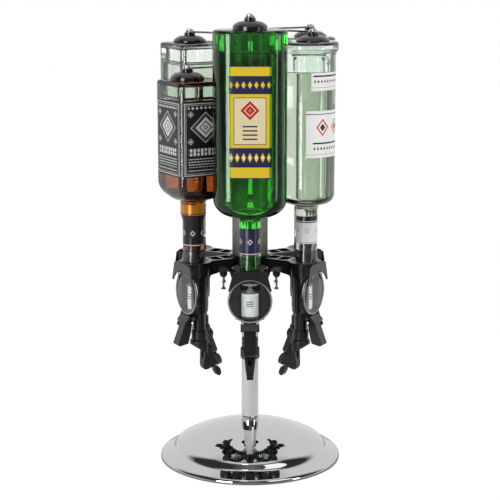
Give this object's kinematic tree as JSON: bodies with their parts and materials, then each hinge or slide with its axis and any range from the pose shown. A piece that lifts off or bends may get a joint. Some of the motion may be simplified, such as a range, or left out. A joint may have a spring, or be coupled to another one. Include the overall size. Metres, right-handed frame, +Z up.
{
  "type": "rotating liquor dispenser",
  "caption": "Bar carousel on a round chrome foot: upended bottles hang in arms around a hexagonal column, each with a spring-lever spirit measure and a rubber top cup.",
  "frame": {"origin": "centre of the foam pad's underside, on the table, on the stand's axis", "axes": "+Z up along the pole, -Y towards the front bottle and the viewer, +X to the viewer's right"},
  "size_m": [0.24, 0.2428, 0.595],
  "materials": {
    "chrome_plate": "mirror-bright plating",
    "foam": "closed-cell foam",
    "ballast_iron": "as cast",
    "plain_steel": "zinc plated",
    "satin_aluminium": "satin anodised",
    "white_nylon": "natural nylon",
    "black_plastic": "moulded, semi-gloss",
    "dark_plastic": "moulded, satin",
    "silver_plastic": "moulded, silver grey",
    "clear_lens": "clear, polished",
    "screw_chrome": "bright plated wire and screws",
    "black_rubber": "moulded rubber",
    "green_glass": "clear green glass",
    "clear_glass": "clear glass",
    "drink": "liquid, spirit coloured"
  },
  "bodies": {
    "stand": {"base_disc": "chrome_plate", "base_pad": "foam", "base_weight": "ballast_iron", "rod_fixings": "plain_steel", "tie_rod": "plain_steel", "pole_foot": "chrome_plate", "pole": "satin_aluminium", "spindle": "plain_steel", "thrust_washer": "white_nylon", "spindle_fixings": "plain_steel"},
    "carousel": {"hub_arms": "black_plastic", "arm_screws": "screw_chrome", "column": "satin_aluminium", "column_cap": "black_plastic", "column_screws": "plain_steel", "measure_body_1": "black_plastic", "measure_body_2": "black_plastic", "measure_body_3": "black_plastic", "measure_body_4": "black_plastic", "measure_body_5": "black_plastic", "measure_body_6": "black_plastic", "lenses": "clear_lens", "measuring_chambers": "clear_lens", "metering_valves": "silver_plastic", "stoppers": "black_rubber", "valve_springs": "plain_steel", "lever_pins": "plain_steel", "spouts": "dark_plastic", "bottle_1": "green_glass", "bottle_2": "clear_glass", "bottle_3": "clear_glass", "bottle_4": "clear_glass", "bottle_5": "clear_glass", "bottle_6": "clear_glass", "drinks": "drink"},
    "lever_1_body": {"lever_1": "black_plastic"},
    "plunger_1_body": {"plunger_1": "white_nylon"},
    "top_arm_1_body": {"top_arm_1": "screw_chrome", "cup_1": "black_rubber"},
    "lever_2_body": {"lever_2": "black_plastic"},
    "plunger_2_body": {"plunger_2": "white_nylon"},
    "top_arm_2_body": {"top_arm_2": "screw_chrome", "cup_2": "black_rubber"},
    "lever_3_body": {"lever_3": "black_plastic"},
    "plunger_3_body": {"plunger_3": "white_nylon"},
    "top_arm_3_body": {"top_arm_3": "screw_chrome", "cup_3": "black_rubber"},
    "lever_4_body": {"lever_4": "black_plastic"},
    "plunger_4_body": {"plunger_4": "white_nylon"},
    "top_arm_4_body": {"top_arm_4": "screw_chrome", "cup_4": "black_rubber"},
    "lever_5_body": {"lever_5": "black_plastic"},
    "plunger_5_body": {"plunger_5": "white_nylon"},
    "top_arm_5_body": {"top_arm_5": "screw_chrome", "cup_5": "black_rubber"},
    "lever_6_body": {"lever_6": "black_plastic"},
    "plunger_6_body": {"plunger_6": "white_nylon"},
    "top_arm_6_body": {"top_arm_6": "screw_chrome", "cup_6": "black_rubber"}
  },
  "joints": [
    {"name": "carousel_turn", "type": "hinge", "parent": "stand", "child": "carousel", "pos_m": [0, 0, 0.2298], "axis": [0, 0, 1], "continuous": true},
    {"name": "lever_1_press", "type": "hinge", "parent": "carousel", "child": "lever_1_body", "pos_m": [0, -0.0886, 0.2015], "axis": [1, 0, 0], "range_deg": [0, 7], "stiffness_Nm_per_rad": 0.25, "springref_deg": -5.73},
    {"name": "lever_2_press", "type": "hinge", "parent": "carousel", "child": "lever_2_body", "pos_m": [0.07673, -0.0443, 0.2015], "axis": [0.5, 0.866, 0], "range_deg": [0, 7], "stiffness_Nm_per_rad": 0.25, "springref_deg": -5.73},
    {"name": "lever_3_press", "type": "hinge", "parent": "carousel", "child": "lever_3_body", "pos_m": [0.07673, 0.0443, 0.2015], "axis": [-0.5, 0.866, 0], "range_deg": [0, 7], "stiffness_Nm_per_rad": 0.25, "springref_deg": -5.73},
    {"name": "lever_4_press", "type": "hinge", "parent": "carousel", "child": "lever_4_body", "pos_m": [0, 0.0886, 0.2015], "axis": [-1, 0, 0], "range_deg": [0, 7], "stiffness_Nm_per_rad": 0.25, "springref_deg": -5.73},
    {"name": "lever_5_press", "type": "hinge", "parent": "carousel", "child": "lever_5_body", "pos_m": [-0.07673, 0.0443, 0.2015], "axis": [-0.5, -0.866, 0], "range_deg": [0, 7], "stiffness_Nm_per_rad": 0.25, "springref_deg": -5.73},
    {"name": "lever_6_press", "type": "hinge", "parent": "carousel", "child": "lever_6_body", "pos_m": [-0.07673, -0.0443, 0.2015], "axis": [0.5, -0.866, 0], "range_deg": [0, 7], "stiffness_Nm_per_rad": 0.25, "springref_deg": -5.73},
    {"name": "plunger_1_lift", "type": "slide", "parent": "carousel", "child": "plunger_1_body", "axis": [0, 0, 1], "range_m": [0, 0.0015], "deforming": ["valve_springs"]},
    {"name": "plunger_2_lift", "type": "slide", "parent": "carousel", "child": "plunger_2_body", "axis": [0, 0, 1], "range_m": [0, 0.0015]},
    {"name": "plunger_3_lift", "type": "slide", "parent": "carousel", "child": "plunger_3_body", "axis": [0, 0, 1], "range_m": [0, 0.0015]},
    {"name": "plunger_4_lift", "type": "slide", "parent": "carousel", "child": "plunger_4_body", "axis": [0, 0, 1], "range_m": [0, 0.0015]},
    {"name": "plunger_5_lift", "type": "slide", "parent": "carousel", "child": "plunger_5_body", "axis": [0, 0, 1], "range_m": [0, 0.0015]},
    {"name": "plunger_6_lift", "type": "slide", "parent": "carousel", "child": "plunger_6_body", "axis": [0, 0, 1], "range_m": [0, 0.0015]},
    {"name": "top_arm_1_raise", "type": "slide", "parent": "carousel", "child": "top_arm_1_body", "axis": [0, 0, 1], "range_m": [0, 0.045]},
    {"name": "top_arm_2_raise", "type": "slide", "parent": "carousel", "child": "top_arm_2_body", "axis": [0, 0, 1], "range_m": [0, 0.045]},
    {"name": "top_arm_3_raise", "type": "slide", "parent": "carousel", "child": "top_arm_3_body", "axis": [0, 0, 1], "range_m": [0, 0.045]},
    {"name": "top_arm_4_raise", "type": "slide", "parent": "carousel", "child": "top_arm_4_body", "axis": [0, 0, 1], "range_m": [0, 0.045]},
    {"name": "top_arm_5_raise", "type": "slide", "parent": "carousel", "child": "top_arm_5_body", "axis": [0, 0, 1], "range_m": [0, 0.045]},
    {"name": "top_arm_6_raise", "type": "slide", "parent": "carousel", "child": "top_arm_6_body", "axis": [0, 0, 1], "range_m": [0, 0.045]}
  ],
  "couplings": [
    {"joint": "plunger_1_lift", "follows": "lever_1_press", "m_per_rad": 0.0122},
    {"joint": "plunger_2_lift", "follows": "lever_2_press", "m_per_rad": 0.0122},
    {"joint": "plunger_3_lift", "follows": "lever_3_press", "m_per_rad": 0.0122},
    {"joint": "plunger_4_lift", "follows": "lever_4_press", "m_per_rad": 0.0122},
    {"joint": "plunger_5_lift", "follows": "lever_5_press", "m_per_rad": 0.0122},
    {"joint": "plunger_6_lift", "follows": "lever_6_press", "m_per_rad": 0.0122}
  ]
}
